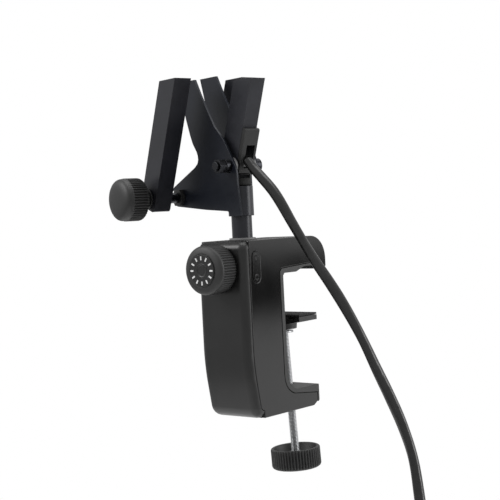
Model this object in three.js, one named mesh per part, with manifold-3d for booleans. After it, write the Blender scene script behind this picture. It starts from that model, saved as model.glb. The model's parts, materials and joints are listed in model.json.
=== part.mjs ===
// A table-edge clamp with the lower end of a sprung two-bar desk arm.
// Units are millimetres, +Z is up, the clamp faces -Y and the table edge enters from +Y.
// Inside this file the clamp is drawn with its top face at Z = 0 and its front face at Y = 0;
// the last lines shift it so that the origin is the middle of the upper jaw's gripping face.
import * as THREE from 'three';
import { mergeVertices } from 'three/addons/utils/BufferGeometryUtils.js';
import Module from 'manifold-3d';

const wasm = await Module();
wasm.setup();

// ---------------------------------------------------------------- driving dimensions

const GAP = 0.3;                       // clearance left between neighbouring solids

const CLAMP_WIDTH = 42.4;
const CLAMP_HEIGHT = 120.8;
const FRONT_RADIUS = 5.5;              // rounded vertical edges of the front cover
const FRONT_STRAIGHT = 70.5;            // height of the flat part of the front cover
const FRONT_SWEEP = 160;               // radius of the part that curves back below it
const FRONT_SWEEP_END = 100;           // depth below the top where the sweep ends
const TOE_RADIUS = 9;                  // front cover's lower corner
const BROW_RADIUS = 5.9;               // front cover's upper corner
const COVER_SHEET = 2.4;
const SIDE_SHEET = 2.6;
const WALL_Y = 42;                     // exposed face of the throat's back wall
const LINER = 3.5;
const JAW_FACE_Z = -24.3;              // gripping face of the upper jaw
const JAW_FACE_Y = [43.6, 57];
const JAW_RELIEF_Z = -21.1;
const UPPER_TIP_Y = 92.9;
const UPPER_TIP_RADIUS = 16.5;
const LOWER_JAW_TOP = -106;
const LOWER_TIP_Y = 77.4;

const MAST_Y = 25.6;
const MAST_RADIUS = 7.1;
const MAST_WALL = 1.6;
const MAST_BOTTOM = -58;
const SLEEVE_RADIUS = 8.8;
const SLEEVE_Z = [16.6, 37.1];
const MAST_TOP = 36.6;
const PLUG_TOP = 42.6;
const BUSH_RADIUS = 9.4;

const LOCK_Z = -18.4;
const LOCK_RADIUS = 16.75;
const LOCK_RIM_Y = -15.6;              // where the ribbed rim meets the domed face
const LOCK_DOME = 3.6;
const LOCK_BACK_Y = -2;
const LOCK_HUB_RADIUS = 9;
const DISC_RADIUS = 10.8;                // plain disc let into the lock knob's face
const STUD_RADIUS = 3.95;

const SCREW_POINT = new THREE.Vector3(0, 70.5, -113);
const SCREW_LEAN = 1.9;                // degrees of play that the screw leans by, each way
const SCREW_RADIUS = 2.95;
const BALL_RADIUS = 4.6;
const BALL_UP = 51.6;                  // ball centre above SCREW_POINT along the screw
const HAND_KNOB_RADIUS = 17.9;
const HAND_KNOB_HEIGHT = 14.4;
const HAND_KNOB_TOP = -39.4;           // rim below SCREW_POINT along the screw
const PAD_TOP_Z = -54.8;
const PAD_HALF = [22.5, 10.5];

const ARM_TURN = -14;                  // degrees the arm is swivelled about the mast
const PLATE_INNER = 9.1;
const PLATE_SHEET = 1.7;
const PIVOT_OUTER = [-57.9, 31.7];      // outer bars' pivot, (across, up) from the mast
const PIVOT_INNER = [2.5, 51];         // inner bar's pivot
const OUTER_LEAN = 21.2;
const INNER_LEAN = 20.2;
const BAR_WALL = 1.5;
const OUTER_HALF = 9.2;                // half of an outer bar's face across the arm plane
const OUTER_FOOT = 7.5;                // bar below its pivot
const OUTER_TOP = { near: 112.8, far: 114.6 };
const NEAR_BAR_Y = [-38.3, -24.9];
const FAR_BAR_Y = [17.9, 31.3];
const INNER_ACROSS = [-16.2, 2.5];     // inner bar's edges measured from its pivot
const INNER_Y = [-6, 6];
const INNER_TOP = 108.8;
const PLATE_TOP = { near: 114, far: 117.2 };
const OUTLET_PROUD = 3.7;
const OUTLET_UP = [-4.5, 28];
const SLOT_UP = [2, 16.4];
const SLOT_Y = [-2.7, 4.3];

const AXLE_RADIUS = 2.95;
const SPACER_RADIUS = 3.75;
const TENSION_RADIUS = 15.1;
const TENSION_Y = [-59, -47];          // ribbed rim
const TENSION_DOME = 6;
const NECK_RADIUS = 6.75;

const CORD_RADIUS = 3.7;
const CORD_EXIT = [10.5, 23];            // where the cable's plane meets the outlet, (x, y)
const CORD_HEADING = 8;                  // degrees from +X
const COIL_MEAN = 41;
const COIL_HEIGHT = -262;
const COIL_HALF_WIDTH = 11.6;
const COIL_HALF_DEPTH = 8;
const PLUG_START_Z = -312;

// ---------------------------------------------------------------- materials

const finish = (color, roughness, metalness) => new THREE.MeshStandardMaterial({ color, roughness, metalness });
const BLACK_PLASTIC = finish(0x1b1b1d, 0.55, 0);
const GRIP_PLASTIC = finish(0x202022, 0.7, 0);
const BLACK_PAINT = finish(0x1d1d22, 0.42, 0.3);
const RUBBER = finish(0x0d0d0e, 0.9, 0);
const ZINC = finish(0xb9bcc0, 0.3, 1);
const BLACK_ZINC = finish(0x2a2a2d, 0.3, 0.9);
const BRIGHT_STEEL = finish(0x9a9ca0, 0.25, 1);
const NYLON = finish(0xd8d8d4, 0.5, 0);
const BRASS = finish(0xb08d4a, 0.35, 1);
const CORD_JACKET = finish(0x161618, 0.45, 0);

// ---------------------------------------------------------------- solids

// Turns a closed three.js geometry into a manifold solid.
function solid(geometry) {
  const bare = geometry.clone();
  bare.deleteAttribute('normal');
  bare.deleteAttribute('uv');
  const merged = mergeVertices(bare, 1e-4);
  const index = merged.index.array;
  const place = merged.attributes.position.array;
  return new wasm.Manifold(new wasm.Mesh({
    numProp: 3,
    vertProperties: new Float32Array(place),
    triVerts: new Uint32Array(index),
  }));
}

// Turns a manifold solid back into a three.js geometry.
function shell(manifold) {
  const mesh = manifold.getMesh();
  const geometry = new THREE.BufferGeometry();
  geometry.setAttribute('position', new THREE.BufferAttribute(new Float32Array(mesh.vertProperties), 3));
  geometry.setIndex(new THREE.BufferAttribute(new Uint32Array(mesh.triVerts), 1));
  geometry.computeVertexNormals();
  return geometry;
}

const cut = (body, ...tools) => shell(tools.reduce((rest, tool) => rest.subtract(solid(tool)), solid(body)));
const join = (...bodies) => shell(bodies.slice(1).reduce((all, body) => all.add(solid(body)), solid(bodies[0])));
const common = (a, b) => shell(solid(a).intersect(solid(b)));

function box([x0, x1], [y0, y1], [z0, z1]) {
  const geometry = new THREE.BoxGeometry(x1 - x0, y1 - y0, z1 - z0);
  return geometry.translate((x0 + x1) / 2, (y0 + y1) / 2, (z0 + z1) / 2);
}

function rodZ(radius, [z0, z1], segments = 32, topRadius = radius) {
  const geometry = new THREE.CylinderGeometry(topRadius, radius, z1 - z0, segments);
  return geometry.rotateX(Math.PI / 2).translate(0, 0, (z0 + z1) / 2);
}

function rodY(radius, [y0, y1], segments = 24, farRadius = radius) {
  const geometry = new THREE.CylinderGeometry(farRadius, radius, y1 - y0, segments);
  return geometry.translate(0, (y0 + y1) / 2, 0);
}

function rodX(radius, [x0, x1], segments = 16) {
  const geometry = new THREE.CylinderGeometry(radius, radius, x1 - x0, segments);
  return geometry.rotateZ(-Math.PI / 2).translate((x0 + x1) / 2, 0, 0);
}

// A ring or tube along Y between two radii.
const tubeY = (outer, inner, [y0, y1], segments = 24) =>
  cut(rodY(outer, [y0, y1], segments), rodY(inner, [y0 - 1, y1 + 1], segments));

const tubeZ = (outer, inner, [z0, z1], segments = 32) =>
  cut(rodZ(outer, [z0, z1], segments), rodZ(inner, [z0 - 1, z1 + 1], segments));

// A solid of revolution about Z from (radius, z) pairs that start and end on the axis.
function turnedZ(profile, segments = 36) {
  const points = profile.map(([r, z]) => new THREE.Vector2(r, z));
  return new THREE.LatheGeometry(points, segments).rotateX(Math.PI / 2);
}

// The same about Y, from (radius, y) pairs.
function turnedY(profile, segments = 36) {
  const points = profile.map(([r, y]) => new THREE.Vector2(r, y));
  return new THREE.LatheGeometry(points, segments);
}

// An outline of (y, z) points extruded along X.
function prismX(outline, [x0, x1]) {
  const shape = new THREE.Shape(outline.map(([y, z]) => new THREE.Vector2(y, z)));
  const geometry = new THREE.ExtrudeGeometry(shape, { depth: x1 - x0, bevelEnabled: false });
  const turn = new THREE.Matrix4().makeBasis(
    new THREE.Vector3(0, 1, 0), new THREE.Vector3(0, 0, 1), new THREE.Vector3(1, 0, 0));
  return geometry.applyMatrix4(turn).translate(x0, 0, 0);
}

// An outline of (x, z) points extruded along Y.
function prismY(outline, [y0, y1]) {
  const shape = new THREE.Shape(outline.map(([x, z]) => new THREE.Vector2(x, z)));
  const geometry = new THREE.ExtrudeGeometry(shape, { depth: y1 - y0, bevelEnabled: false });
  return geometry.rotateX(Math.PI / 2).translate(0, y1, 0);
}

// An outline of (x, y) points extruded along Z.
function prismZ(outline, [z0, z1]) {
  const shape = new THREE.Shape(outline.map(([x, y]) => new THREE.Vector2(x, y)));
  const geometry = new THREE.ExtrudeGeometry(shape, { depth: z1 - z0, bevelEnabled: false });
  return geometry.translate(0, 0, z0);
}

// Points of an arc in degrees, ends included.
function arc([cx, cy], radius, from, to, steps) {
  const points = [];
  for (let i = 0; i <= steps; i += 1) {
    const angle = THREE.MathUtils.degToRad(from + (to - from) * i / steps);
    points.push([cx + radius * Math.cos(angle), cy + radius * Math.sin(angle)]);
  }
  return points;
}

const hexagon = (acrossFlats) => arc([0, 0], acrossFlats / Math.sqrt(3), 0, 300, 5);

// ---------------------------------------------------------------- scene

const part = new THREE.Group();
const clamp = new THREE.Group();
const arm = new THREE.Group();
part.add(clamp);
clamp.add(arm);
arm.position.set(0, MAST_Y, 0);
arm.rotation.z = THREE.MathUtils.degToRad(ARM_TURN);

function add(parent, name, geometry, material) {
  const mesh = new THREE.Mesh(geometry, material);
  mesh.name = name;
  parent.add(mesh);
  return mesh;
}

// ---------------------------------------------------------------- clamp housing

const HALF = CLAMP_WIDTH / 2;

// The front cover's outer line in the (y, z) plane with its inward normals, from brow to toe.
function frontLine() {
  const stations = [];
  const station = (y, z, ny, nz) => stations.push({ y, z, ny, nz });
  for (let i = 0; i <= 5; i += 1) {
    const angle = Math.PI / 2 * (1 + i / 5);
    station(BROW_RADIUS + BROW_RADIUS * Math.cos(angle), -BROW_RADIUS + BROW_RADIUS * Math.sin(angle),
      -Math.cos(angle), -Math.sin(angle));
  }
  const sweepAngle = Math.asin((FRONT_SWEEP_END - FRONT_STRAIGHT) / FRONT_SWEEP);
  for (let i = 0; i <= 8; i += 1) {
    const angle = Math.PI + sweepAngle * i / 8;
    station(FRONT_SWEEP + FRONT_SWEEP * Math.cos(angle), -FRONT_STRAIGHT + FRONT_SWEEP * Math.sin(angle),
      -Math.cos(angle), -Math.sin(angle));
  }
  const last = stations[stations.length - 1];
  const centreZ = -CLAMP_HEIGHT + TOE_RADIUS;
  const tangentLength = (last.z - centreZ + TOE_RADIUS * Math.sin(sweepAngle)) / Math.cos(sweepAngle);
  const centreY = last.y + tangentLength * Math.sin(sweepAngle) + TOE_RADIUS * Math.cos(sweepAngle);
  for (let i = 0; i <= 6; i += 1) {
    const angle = Math.PI + sweepAngle + (Math.PI / 2 - sweepAngle) * i / 6;
    station(centreY + TOE_RADIUS * Math.cos(angle), centreZ + TOE_RADIUS * Math.sin(angle),
      -Math.cos(angle), -Math.sin(angle));
  }
  return stations;
}

const FRONT_LINE = frontLine();
const BROW_STATIONS = 6;
const TOE_END_Y = FRONT_LINE[FRONT_LINE.length - 1].y;

// The front line moved inwards, with its top and bottom squared off behind the cover's two ends.
const inset = (depth) => [
  [BROW_RADIUS + GAP, 0],
  [BROW_RADIUS + GAP, -BROW_RADIUS],
  ...FRONT_LINE.slice(BROW_STATIONS).map(({ y, z, ny, nz }) => [y + depth * ny, z + depth * nz]).slice(0, -1),
  [TOE_END_Y + GAP, -CLAMP_HEIGHT + depth],
  [TOE_END_Y + GAP, -CLAMP_HEIGHT],
];

// Sweeps a closed (x, depth) section along the front line and caps both ends.
function sweptShell(section, stations) {
  const ring = section.length;
  const place = [];
  for (const { y, z, ny, nz } of stations) {
    for (const [x, depth] of section) place.push(x, y + depth * ny, z + depth * nz);
  }
  const index = [];
  for (let s = 0; s + 1 < stations.length; s += 1) {
    for (let i = 0; i < ring; i += 1) {
      const a = s * ring + i;
      const b = s * ring + (i + 1) % ring;
      index.push(a, b + ring, b, a, a + ring, b + ring);
    }
  }
  const flat = section.map(([x, depth]) => new THREE.Vector2(x, depth));
  const last = (stations.length - 1) * ring;
  for (const [a, b, c] of THREE.ShapeUtils.triangulateShape(flat, [])) {
    index.push(a, b, c);
    index.push(last + c, last + b, last + a);
  }
  const geometry = new THREE.BufferGeometry();
  geometry.setAttribute('position', new THREE.Float32BufferAttribute(place, 3));
  geometry.setIndex(index);
  return shell(solid(geometry));
}

function frontCover() {
  const edge = FRONT_RADIUS - GAP;
  const inner = FRONT_RADIUS - COVER_SHEET;
  const outerRight = arc([HALF - FRONT_RADIUS, FRONT_RADIUS], FRONT_RADIUS, -90, 0, 6);
  const innerRight = arc([HALF - FRONT_RADIUS, FRONT_RADIUS], inner, 0, -90, 4);
  outerRight[outerRight.length - 1][1] = edge;
  innerRight[0][1] = edge;
  const mirror = (points) => points.map(([x, y]) => [-x, y]).reverse();
  const section = [...mirror(outerRight), ...outerRight, ...innerRight, ...mirror(innerRight)];
  const cover = sweptShell(section, FRONT_LINE);
  const studHole = rodY(STUD_RADIUS + 1, [-1, COVER_SHEET + 1]).translate(0, 0, LOCK_Z);
  return cut(cover, studHole);
}

// Side outline of the housing behind the front cover, in (y, z).
function sideOutline(frontDepth) {
  const front = inset(frontDepth).reverse();
  const tip = arc([UPPER_TIP_Y - UPPER_TIP_RADIUS, -UPPER_TIP_RADIUS], UPPER_TIP_RADIUS, 90, 0, 8);
  const backZ = JAW_FACE_Z + LINER;
  const wallY = WALL_Y - LINER;
  const root = arc([wallY + 14, LOWER_JAW_TOP + 11], 14.2, 180, 270, 6);
  return [
    ...front,
    ...tip,
    [UPPER_TIP_Y, -22.4],
    [UPPER_TIP_Y - 1.6, -24],
    [UPPER_TIP_Y - 9, -24],
    [UPPER_TIP_Y - 10.5, JAW_RELIEF_Z + 2.6],
    [wallY + 1.6, backZ],
    [wallY, backZ - 1.6],
    ...root,
    [75.6, -111.8],
    [75.6, -118.2],
    [71, -CLAMP_HEIGHT],
  ];
}

// The strip that lines the whole throat, in (y, z).
function linerOutline() {
  const backZ = JAW_FACE_Z + LINER - GAP;
  const wallY = WALL_Y - LINER + GAP;
  return [
    [UPPER_TIP_Y - 10.8, JAW_RELIEF_Z],
    [66.5, JAW_RELIEF_Z],
    [JAW_FACE_Y[1], JAW_FACE_Z],
    [JAW_FACE_Y[0], JAW_FACE_Z],
    [WALL_Y, JAW_FACE_Z - 1.6],
    ...arc([WALL_Y + 11, LOWER_JAW_TOP + 11], 11, 180, 270, 8),
    [LOWER_TIP_Y - 0.6, LOWER_JAW_TOP],
    [LOWER_TIP_Y, LOWER_JAW_TOP - 0.6],
    [LOWER_TIP_Y, -117.4],
    [LOWER_TIP_Y - 0.8, -118.4],
    [75.9, -118.4],
    [75.9, -111.5],
    ...arc([wallY + 13.7, LOWER_JAW_TOP + 11], 13.9, 270, 180, 6),
    [wallY, backZ - 1.9],
    [wallY + 1.9, backZ],
    [UPPER_TIP_Y - 10.8, JAW_RELIEF_Z + 2.3],
  ];
}

// A cylinder along the leaning screw, for holes and shafts.
const screwTurn = new THREE.Euler(
  THREE.MathUtils.degToRad(SCREW_LEAN), THREE.MathUtils.degToRad(-SCREW_LEAN), 0);
const alongScrew = (geometry) => geometry
  .applyMatrix4(new THREE.Matrix4().makeRotationFromEuler(screwTurn))
  .translate(SCREW_POINT.x, SCREW_POINT.y, SCREW_POINT.z);

const INSERT_RADIUS = 4.1;

function housingCore() {
  const core = prismX(sideOutline(FRONT_RADIUS - 1), [-HALF + SIDE_SHEET + GAP, HALF - SIDE_SHEET - GAP]);
  const mastBore = rodZ(BUSH_RADIUS + GAP, [MAST_BOTTOM - 3, 5]).translate(0, MAST_Y, 0);
  const studBore = rodY(STUD_RADIUS + GAP, [-2, MAST_Y]).translate(0, 0, LOCK_Z);
  const nutBore = alongScrew(rodZ(INSERT_RADIUS + GAP, [-12, 12]));
  const pocket = box([-12, 12], [12, WALL_Y - LINER - 5], [-98, MAST_BOTTOM - 8]);
  const pocketDoor = box([-30, -10], [14, WALL_Y - LINER - 7], [-94, MAST_BOTTOM - 12]);
  return cut(core, mastBore, studBore, nutBore, pocket, pocketDoor);
}

add(clamp, 'clamp_core', housingCore(), BLACK_PAINT);
add(clamp, 'front_cover', frontCover(), BLACK_PLASTIC);

const coverOutline = sideOutline(FRONT_RADIUS + 0.2);
const BADGE_CENTRE = [13, -18];
const BADGE_HALF = [4.2, 10.8];
const oblong = (halfWidth, halfHeight) => [
  ...arc([BADGE_CENTRE[0], BADGE_CENTRE[1] + halfHeight - halfWidth], halfWidth, 0, 180, 8),
  ...arc([BADGE_CENTRE[0], BADGE_CENTRE[1] - halfHeight + halfWidth], halfWidth, 180, 360, 8),
];
const badgeRecess = prismX(oblong(BADGE_HALF[0], BADGE_HALF[1]), [HALF - 1.2, HALF + 1]);
add(clamp, 'side_cover_right', cut(prismX(coverOutline, [HALF - SIDE_SHEET, HALF]), badgeRecess), BLACK_PLASTIC);
add(clamp, 'side_cover_left', prismX(coverOutline, [-HALF, -HALF + SIDE_SHEET]), BLACK_PLASTIC);

const badgePlate = prismX(oblong(BADGE_HALF[0] - GAP, BADGE_HALF[1] - GAP), [HALF - 1.2 + GAP, HALF + 0.3]);
const badgeRings = [-7, 7].map((dz) => {
  const place = (geometry) => geometry.translate(0, BADGE_CENTRE[0], BADGE_CENTRE[1] + dz);
  return cut(place(rodX(2, [HALF - 0.4, HALF + 0.6])), place(rodX(1.3, [HALF + 0.1, HALF + 2])));
});
add(clamp, 'side_badge', join(badgePlate, ...badgeRings), BLACK_PLASTIC);

const nutRelief = alongScrew(rodZ(SCREW_RADIUS + 0.9, [-12, 12]));
add(clamp, 'throat_liner', cut(prismX(linerOutline(), [-HALF, HALF]), nutRelief), GRIP_PLASTIC);
const insert = alongScrew(tubeZ(INSERT_RADIUS, SCREW_RADIUS + GAP, [-7.2, 2.4]));
add(clamp, 'screw_insert', common(insert, box([-9, 9], [60, 80], [-CLAMP_HEIGHT + 0.4, -112])), BRASS);

// Mast bushes: an upper one with a pale flange on the clamp's top face and a lower plain one.
const bushAt = (geometry) => geometry.translate(0, MAST_Y, 0);
const flange = rodZ(SLEEVE_RADIUS + 0.4, [GAP, 1.5]);
const upperBush = join(rodZ(BUSH_RADIUS, [-28, -GAP]), rodZ(BUSH_RADIUS - 1, [-5, 1]), flange);
const padWindow = rodY(STUD_RADIUS + 0.2, [-20, 0]).translate(0, 0, LOCK_Z);
add(clamp, 'mast_bush_upper', bushAt(cut(upperBush, rodZ(MAST_RADIUS + GAP, [-40, 5]), padWindow)), NYLON);
add(clamp, 'mast_bush_lower', bushAt(tubeZ(BUSH_RADIUS, MAST_RADIUS + GAP, [MAST_BOTTOM + 2, -40])), NYLON);

// Counter-sunk screws that hold the left side cover to the core.
const coverScrews = [[74, -10], [24, -108]];
coverScrews.forEach(([y, z], i) => {
  const head = rodX(2.6, [-HALF - 0.9, -HALF - GAP], 16).translate(0, y, z);
  const slot = box([-HALF - 2, -HALF - 0.65], [y - 3, y + 3], [z - 0.4, z + 0.4]);
  add(clamp, `cover_screw_${i + 1}`, cut(head, slot), ZINC);
});

// ---------------------------------------------------------------- mast lock

// (radius, y) points of a full, round-shouldered face that stands out towards -Y from a rim, centre first.
function domeProfile(radius, rimY, height, fullness) {
  const steps = 7;
  const points = [];
  for (let i = 0; i <= steps; i += 1) {
    const angle = Math.PI / 2 * i / steps;
    const across = i === steps ? 1 : Math.sin(angle) ** (2 / fullness);
    const out = i === steps ? 0 : Math.cos(angle) ** (2 / fullness);
    points.push([radius * across, rimY - height * out]);
  }
  return points;
}
const lockBody = shell(solid(turnedY([
  ...domeProfile(LOCK_RADIUS - 0.3, LOCK_RIM_Y, LOCK_DOME, 2.8),
  [LOCK_RADIUS, LOCK_RIM_Y + 0.8], [LOCK_RADIUS, LOCK_BACK_Y - 0.8], [LOCK_RADIUS - 0.8, LOCK_BACK_Y],
  [LOCK_HUB_RADIUS, LOCK_BACK_Y], [LOCK_HUB_RADIUS, -0.5], [0, -0.5],
])));
const lockFaceY = LOCK_RIM_Y - LOCK_DOME + 0.7;
const lockRecess = rodY(DISC_RADIUS + GAP, [lockFaceY - 5, lockFaceY + 0.9]);
const lockSocket = rodY(STUD_RADIUS + GAP, [lockFaceY + 4.5, 5]);
const lockKnob = cut(lockBody, lockRecess, lockSocket);
add(clamp, 'lock_knob', lockKnob.translate(0, 0, LOCK_Z), GRIP_PLASTIC);
const lockDisc = rodY(DISC_RADIUS, [lockFaceY - 0.4, lockFaceY + 0.9 - GAP]);
add(clamp, 'lock_knob_disc', lockDisc.translate(0, 0, LOCK_Z), BLACK_PLASTIC);
const studTip = MAST_Y - MAST_RADIUS - 3.2;
add(clamp, 'lock_stud', rodY(STUD_RADIUS, [lockFaceY + 4.8, studTip]).translate(0, 0, LOCK_Z), ZINC);
const thrustPad = rodY(STUD_RADIUS - 0.2, [studTip + GAP, MAST_Y - MAST_RADIUS - 0.5]);
add(clamp, 'lock_thrust_pad', thrustPad.translate(0, 0, LOCK_Z), BRASS);

// ---------------------------------------------------------------- clamp screw

const screwGroup = new THREE.Group();
screwGroup.position.copy(SCREW_POINT);
screwGroup.rotation.copy(screwTurn);
clamp.add(screwGroup);

const knobBottom = HAND_KNOB_TOP - HAND_KNOB_HEIGHT;
const screwBottom = knobBottom + 3;
add(screwGroup, 'clamp_screw', join(
  rodZ(SCREW_RADIUS, [screwBottom, BALL_UP - BALL_RADIUS - 1.2]),
  rodZ(SCREW_RADIUS - 0.9, [screwBottom, BALL_UP + 2]),
), ZINC);
const knobBody = shell(solid(turnedZ([
  [0, knobBottom], [HAND_KNOB_RADIUS - 1.6, knobBottom], [HAND_KNOB_RADIUS, knobBottom + 1.6],
  [HAND_KNOB_RADIUS, HAND_KNOB_TOP - 1], [HAND_KNOB_RADIUS - 0.9, HAND_KNOB_TOP], [0, HAND_KNOB_TOP],
])));
const knobHub = rodZ(6, [knobBottom + 1, HAND_KNOB_TOP - 3.4]);
const knobCup = cut(rodZ(HAND_KNOB_RADIUS - 2.4, [HAND_KNOB_TOP - 9, HAND_KNOB_TOP + 1]), knobHub);
const knobBore = rodZ(SCREW_RADIUS + GAP, [screwBottom - GAP, HAND_KNOB_TOP + 2]);
add(screwGroup, 'hand_knob', cut(knobBody, knobCup, knobBore), GRIP_PLASTIC);

// The ball that the pressure pad swivels on; the screw's tip turns inside it.
const ballSphere = new THREE.SphereGeometry(BALL_RADIUS, 16, 10).rotateX(Math.PI / 2);
const ball = cut(ballSphere.translate(0, 0, BALL_UP),
  rodZ(SCREW_RADIUS - 0.9 + GAP, [0, BALL_UP + 2.4]),
  box([-9, 9], [-9, 9], [BALL_UP + 3.4, BALL_UP + 9]));
add(screwGroup, 'swivel_ball', ball, BRIGHT_STEEL);

// Pressure pad: a winged foot with a boss around the ball and a rubber facing.
const ballCentre = new THREE.Vector3(0, 0, BALL_UP).applyEuler(screwTurn).add(SCREW_POINT);
const padGroup = new THREE.Group();
padGroup.position.copy(ballCentre);
clamp.add(padGroup);
const padTop = PAD_TOP_Z - ballCentre.z;
const FACING = 1.4;
const wingTop = padTop - FACING - GAP;
const wing = prismY([
  [-PAD_HALF[0], wingTop], [-PAD_HALF[0], wingTop - 3.4], [-10, wingTop - 5.6],
  [10, wingTop - 5.6], [PAD_HALF[0], wingTop - 3.4], [PAD_HALF[0], wingTop],
], [-PAD_HALF[1], PAD_HALF[1]]);
const padBoss = rodZ(9.6, [-4.6, wingTop - 1], 36, 10.4);
const socketBore = rodZ(BALL_RADIUS + GAP, [-8, 4.2]);
const padNotches = [-1, 1].map((side) =>
  box([side * 16 - 3, side * 16 + 3], [-PAD_HALF[1] - 1, -PAD_HALF[1] + 1.6], [wingTop - 1.6, wingTop + 1]));
add(padGroup, 'pressure_pad', cut(join(wing, padBoss), socketBore, ...padNotches), BLACK_PLASTIC);
const facing = box([-PAD_HALF[0], PAD_HALF[0]], [-PAD_HALF[1], PAD_HALF[1]], [wingTop + GAP, padTop]);
add(padGroup, 'pad_facing', facing, RUBBER);
add(padGroup, 'socket_ring', tubeZ(7, 4.4, [-7.4, -6]), BRIGHT_STEEL);

// ---------------------------------------------------------------- mast and bracket

add(arm, 'mast_tube', tubeZ(MAST_RADIUS, MAST_RADIUS - MAST_WALL, [MAST_BOTTOM, MAST_TOP]), BLACK_PAINT);
add(arm, 'mast_sleeve', tubeZ(SLEEVE_RADIUS, MAST_RADIUS + GAP, SLEEVE_Z, 40), BLACK_PAINT);
const plugHead = rodZ(MAST_RADIUS + 0.6, [MAST_TOP + 0.9, PLUG_TOP], 32);
const plugStem = rodZ(MAST_RADIUS - MAST_WALL - GAP, [22, MAST_TOP + 2]);
add(arm, 'mast_plug', join(plugHead, plugStem), RUBBER);

// Common left edge of the two bracket plates, from the top of their upward strip to the foot.
const plateLeft = (top) => [
  [-46.4 - (top - 86.9) * 0.284, top], [-46.4, 86.9], [-42.2, 75.1], [-39.6, 69.3], [-37.5, 66.3], [-35.3, 63.3],
  [-34.1, 60.4], [-33.8, 57.5], [-35, 54.8], [-38.7, 52.2], [-66, 39.8], [-68.2, 38.2],
];
const plateFoot = [[-66.4, 26.6], [-62.8, 25.4], [-27.3, 22], [-2, 20.3]];
const plateBrow = (top) => [[4.2, 59.9], [-1.9, 69.4], [-12.3, 79.2], [-20, 91.2], [-27.2, 103], [-27.2 - (top - 103) * 0.55, top]];
const axleSlot = [
  ...arc(PIVOT_OUTER, 5.3, -90, 90, 8),
  [-75, PIVOT_OUTER[1] + 5.3],
  [-75, PIVOT_OUTER[1] - 5.3],
];
const nearOutline = [
  ...plateLeft(PLATE_TOP.near), ...plateFoot, ...arc([-2, 17.3], 3, 90, 0, 4).slice(1),
  [1, SLEEVE_Z[0]], [13.8, SLEEVE_Z[0]], [12.8, 27.5], [11.6, 37.1], [11, 47], [9.6, 51.5],
  ...plateBrow(PLATE_TOP.near),
];
const farOutline = [
  ...plateLeft(PLATE_TOP.far), ...plateFoot.slice(0, 3), [-2, 20.3], [0, 21.5], [0, 45.2],
  ...arc(PIVOT_INNER, 5.4, -70, 20, 5), ...plateBrow(PLATE_TOP.far),
];
const pivotHole = rodY(AXLE_RADIUS + GAP, [-20, 20]).translate(PIVOT_INNER[0], 0, PIVOT_INNER[1]);
const slotTool = prismY(axleSlot, [-20, 20]);
const nearPlate = prismY([...nearOutline].reverse(), [-PLATE_INNER - PLATE_SHEET, -PLATE_INNER]);
const farPlate = prismY([...farOutline].reverse(), [PLATE_INNER, PLATE_INNER + PLATE_SHEET]);
add(arm, 'plate_near', cut(nearPlate, pivotHole, slotTool), BLACK_PAINT);
add(arm, 'plate_far', cut(farPlate, pivotHole, slotTool), BLACK_PAINT);

// ---------------------------------------------------------------- inner bar and its pivot

const atInner = (geometry) => geometry.translate(PIVOT_INNER[0], 0, PIVOT_INNER[1]);
const atOuter = (geometry) => geometry.translate(PIVOT_OUTER[0], 0, PIVOT_OUTER[1]);
const plateFace = PLATE_INNER + PLATE_SHEET;

add(arm, 'inner_axle', atInner(rodY(AXLE_RADIUS, [-22.4, 14.2])), BLACK_ZINC);
add(arm, 'inner_axle_collar', atInner(tubeY(4.6, AXLE_RADIUS + GAP, [-14.9, -plateFace - GAP])), BLACK_PLASTIC);
const nutBlank = prismY(hexagon(8.8), [-20.6, -14.9 - GAP]);
const nutHole = rodY(AXLE_RADIUS + GAP, [-60, 60]);
add(arm, 'inner_axle_nut', atInner(cut(nutBlank, nutHole)), BLACK_ZINC);
add(arm, 'inner_axle_head', atInner(cut(rodY(5, [plateFace + GAP, 14.6]), nutHole)), BLACK_ZINC);
for (const [name, span] of [['near', [-PLATE_INNER + GAP, -6.9]], ['far', [6.9, PLATE_INNER - GAP]]]) {
  add(arm, `inner_washer_${name}`, atInner(tubeY(6, AXLE_RADIUS + GAP, span, 28)), NYLON);
}

// A point of a leaning bar: across and along it from its pivot.
function barPoint(pivot, lean, across, along) {
  const angle = THREE.MathUtils.degToRad(lean);
  return [
    pivot[0] + across * Math.cos(angle) + along * Math.sin(angle),
    pivot[1] - across * Math.sin(angle) + along * Math.cos(angle),
  ];
}

// Where a line along a leaning bar reaches a level height.
function barTop(pivot, lean, across, height) {
  const angle = THREE.MathUtils.degToRad(lean);
  const along = (height - pivot[1] + across * Math.sin(angle)) / Math.cos(angle);
  return barPoint(pivot, lean, across, along);
}

const innerPoint = (across, along) => barPoint(PIVOT_INNER, INNER_LEAN, across, along);
const innerLevel = (across, height) => barTop(PIVOT_INNER, INNER_LEAN, across, height);
const [innerLeft, innerRight] = INNER_ACROSS;

function innerBarOutline(wall, top, footLift) {
  return [
    innerLevel(innerLeft + wall, top),
    innerPoint(innerLeft + wall, 9 + footLift),
    innerPoint(-5.6, -5.2 + footLift),
    innerPoint(innerRight - wall, -5.6 + footLift),
    innerLevel(innerRight - wall, top),
  ];
}

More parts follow.
